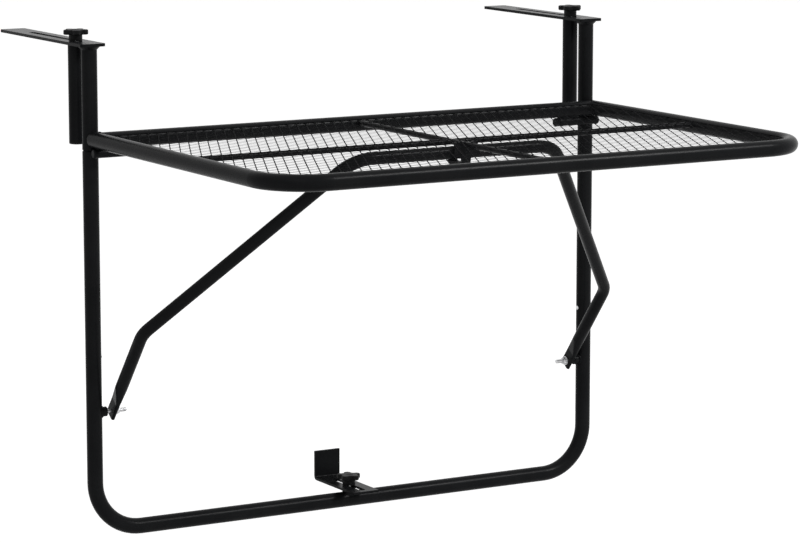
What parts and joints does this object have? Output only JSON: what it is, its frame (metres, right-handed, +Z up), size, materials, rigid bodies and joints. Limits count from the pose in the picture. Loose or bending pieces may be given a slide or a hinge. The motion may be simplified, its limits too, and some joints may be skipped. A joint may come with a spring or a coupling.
{
  "type": "folding balcony table",
  "caption": "Folding hanging balcony table with a steel mesh top, slotted railing strips, clamping hooks, a swinging brace and an adjustable lower stop",
  "frame": {"origin": "on the railing's top surface, midway between the two strips, in the plane of the uprights", "axes": "X to the right along the railing, Y back over the railing, Z up"},
  "size_m": [0.611, 0.5959, 0.5122],
  "materials": {
    "powder_coat": "black satin powder coat on steel tube",
    "coated_mesh": "black coated steel mesh",
    "zinc": "bright zinc plated hardware",
    "black_plastic": "black moulded plastic"
  },
  "bodies": {
    "frame": {"wall_frame": "powder_coat", "frame_rivets": "zinc", "lower_stop_boss": "powder_coat", "lower_stop_stud": "zinc", "left_rail_post": "powder_coat", "right_rail_post": "powder_coat", "left_post_spigot": "powder_coat", "right_post_spigot": "powder_coat", "left_rail_strip": "powder_coat", "right_rail_strip": "powder_coat", "left_frame_knuckle": "powder_coat", "right_frame_knuckle": "powder_coat", "left_hinge_pin": "powder_coat", "right_hinge_pin": "powder_coat", "left_hinge_nut": "powder_coat", "right_hinge_nut": "powder_coat", "left_pivot_boss": "powder_coat", "right_pivot_boss": "powder_coat", "left_pivot_stud": "zinc", "right_pivot_stud": "zinc", "left_pivot_washer": "zinc", "right_pivot_washer": "zinc", "left_pivot_nut": "zinc", "right_pivot_nut": "zinc"},
    "left_hook": {"left_hook_post": "powder_coat", "left_hook_insert": "zinc", "left_hook_cap": "black_plastic"},
    "right_hook": {"right_hook_post": "powder_coat", "right_hook_insert": "zinc", "right_hook_cap": "black_plastic"},
    "left_knob": {"left_hook_knob": "black_plastic", "left_hook_stud": "zinc"},
    "right_knob": {"right_hook_knob": "black_plastic", "right_hook_stud": "zinc"},
    "lower_stop": {"lower_stop_bracket": "powder_coat"},
    "lower_knob": {"lower_stop_knob": "black_plastic"},
    "table": {"table_rim": "powder_coat", "table_rear_bar": "powder_coat", "mesh_panel": "coated_mesh", "cross_bar": "powder_coat", "centre_bars": "powder_coat", "catch_hook": "powder_coat", "left_table_knuckle": "powder_coat", "right_table_knuckle": "powder_coat", "left_rim_cap": "black_plastic", "right_rim_cap": "black_plastic"},
    "brace": {"brace_bow": "powder_coat"}
  },
  "joints": [
    {"name": "table_fold", "type": "hinge", "parent": "frame", "child": "table", "pos_m": [0, -0.0164, -0.105], "axis": [1, 0, 0], "range_deg": [0, 88]},
    {"name": "brace_swing", "type": "hinge", "parent": "frame", "child": "brace", "pos_m": [0, 0, -0.368], "axis": [1, 0, 0], "range_deg": [0, 133]},
    {"name": "left_hook_slide", "type": "slide", "parent": "frame", "child": "left_hook", "axis": [0, 1, 0], "range_m": [-0.007, 0.105]},
    {"name": "right_hook_slide", "type": "slide", "parent": "frame", "child": "right_hook", "axis": [0, 1, 0], "range_m": [-0.007, 0.105]},
    {"name": "left_knob_turn", "type": "hinge", "parent": "left_hook", "child": "left_knob", "pos_m": [-0.292, 0.031, 0.005], "axis": [0, 0, 1], "continuous": true},
    {"name": "right_knob_turn", "type": "hinge", "parent": "right_hook", "child": "right_knob", "pos_m": [0.292, 0.031, 0.005], "axis": [0, 0, 1], "continuous": true},
    {"name": "lower_stop_slide", "type": "slide", "parent": "frame", "child": "lower_stop", "axis": [0, 1, 0], "range_m": [-0.028, 0.028]},
    {"name": "lower_knob_turn", "type": "hinge", "parent": "frame", "child": "lower_knob", "pos_m": [0, 0, -0.47], "axis": [0, 0, 1], "continuous": true}
  ],
  "couplings": [
    {"joint": "brace_swing", "follows": "table_fold", "ratio": 1.51}
  ]
}
